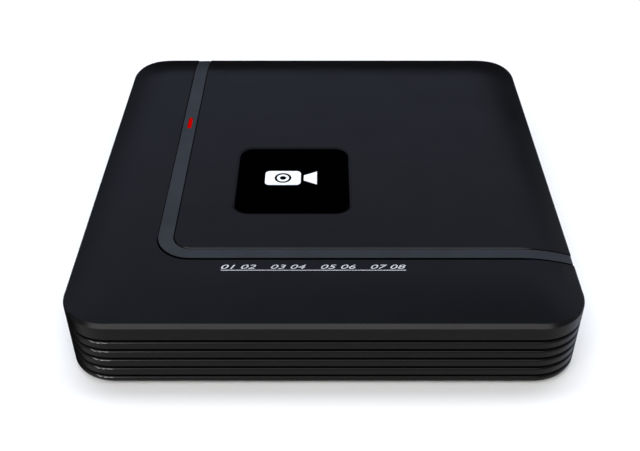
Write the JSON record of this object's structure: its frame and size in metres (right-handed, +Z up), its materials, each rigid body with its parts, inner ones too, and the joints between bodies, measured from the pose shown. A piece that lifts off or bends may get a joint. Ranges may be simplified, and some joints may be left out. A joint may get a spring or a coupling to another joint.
{
  "type": "dvr recorder",
  "caption": "Low square desktop video recorder with a crowned satin-black top, L-shaped trim strip, ribbed skirt, lit window and rear jacks, holding a disk drive.",
  "frame": {"origin": "middle of the whole object's box at the level of the feet", "axes": "+X to the right seen from the front, +Y to the rear where the jacks are, +Z up"},
  "size_m": [0.24, 0.2584, 0.0415],
  "materials": {
    "case_black": "satin blue-black ABS",
    "trim_grey": "satin slate-grey strip",
    "badge_black": "high gloss black",
    "red_lens": "clear red acrylic, lit",
    "foot_rubber": "matte black rubber",
    "panel_paint": "fine-textured black paint on sheet steel",
    "screw_steel": "zinc-plated steel",
    "nickel": "nickel plating",
    "socket_tin": "tinned steel shell",
    "contact_gold": "gold flash",
    "white_plastic": "natural white moulding",
    "black_plastic": "black moulding",
    "collar_red": "red moulding",
    "vga_blue": "blue moulding",
    "board_green": "green solder mask",
    "chip_black": "moulded epoxy",
    "can_black": "shrink sleeve",
    "ferrite": "ferrite grey",
    "black_anodised": "black anodised",
    "cast_aluminium": "cast and machined",
    "drive_steel": "brushed stainless lid",
    "platter_mirror": "polished disk",
    "cell_steel": "stainless can",
    "cable_red": "red jacket",
    "wire_yellow": "yellow insulation"
  },
  "bodies": {
    "base": {"bnc_contacts": "contact_gold", "bnc_insulators": "white_plastic", "bnc_nuts": "nickel", "bnc_shells": "nickel", "board_screws": "screw_steel", "buzzer": "black_plastic", "capacitors": "can_black", "case_screws": "screw_steel", "coin_cell": "cell_steel", "coin_cell_holder": "black_plastic", "crystals": "socket_tin", "data_cable": "cable_red", "data_plugs": "black_plastic", "dc_jack_body": "black_plastic", "dc_jack_pin": "nickel", "drive_base": "cast_aluminium", "drive_board": "board_green", "drive_cover": "drive_steel", "drive_cover_screws": "screw_steel", "drive_magnets": "nickel", "drive_mounting_screws": "screw_steel", "drive_power_wires": "wire_yellow", "drive_socket": "black_plastic", "fan_frame": "black_plastic", "fan_screws": "screw_steel", "hdmi_shell": "socket_tin", "hdmi_tongue": "black_plastic", "heatsink": "black_anodised", "lan_contacts": "contact_gold", "lan_port": "socket_tin", "lan_transformer": "chip_black", "lower_case": "case_black", "main_board": "board_green", "memory_chips": "chip_black", "pin_headers": "white_plastic", "power_header": "white_plastic", "power_inductors": "ferrite", "power_plugs": "black_plastic", "processor": "chip_black", "rca_bodies": "black_plastic", "rca_collars": "collar_red", "rca_shells": "nickel", "rear_panel": "panel_paint", "rubber_feet": "foot_rubber", "sata_socket": "black_plastic", "status_led": "white_plastic", "usb_port": "socket_tin", "usb_tongues": "white_plastic", "vga_insulator": "vga_blue", "vga_jack_nuts": "nickel", "vga_shell": "nickel", "video_chips": "chip_black"},
    "cover": {"upper_case": "case_black", "trim_strip": "trim_grey", "badge_plate": "badge_black", "led_light_pipe": "red_lens"},
    "fan": {"fan_rotor": "black_plastic"},
    "platters": {"drive_platters": "platter_mirror"},
    "head_arm": {"drive_head_arm": "cast_aluminium"}
  },
  "joints": [
    {"name": "cover_lift", "type": "slide", "parent": "base", "child": "cover", "axis": [0, 0, 1], "range_m": [0, 0.06]},
    {"name": "fan_spin", "type": "hinge", "parent": "base", "child": "fan", "pos_m": [-0.018, 0.064, 0.027], "axis": [0, 0, 1], "continuous": true},
    {"name": "platter_spin", "type": "hinge", "parent": "base", "child": "platters", "pos_m": [0.04, -0.0702, 0.022], "axis": [0, 0, 1], "continuous": true},
    {"name": "head_arm_swing", "type": "hinge", "parent": "base", "child": "head_arm", "pos_m": [-0.022, -0.0822, 0.022], "axis": [0, 0, -1], "range_deg": [0, 33]}
  ]
}
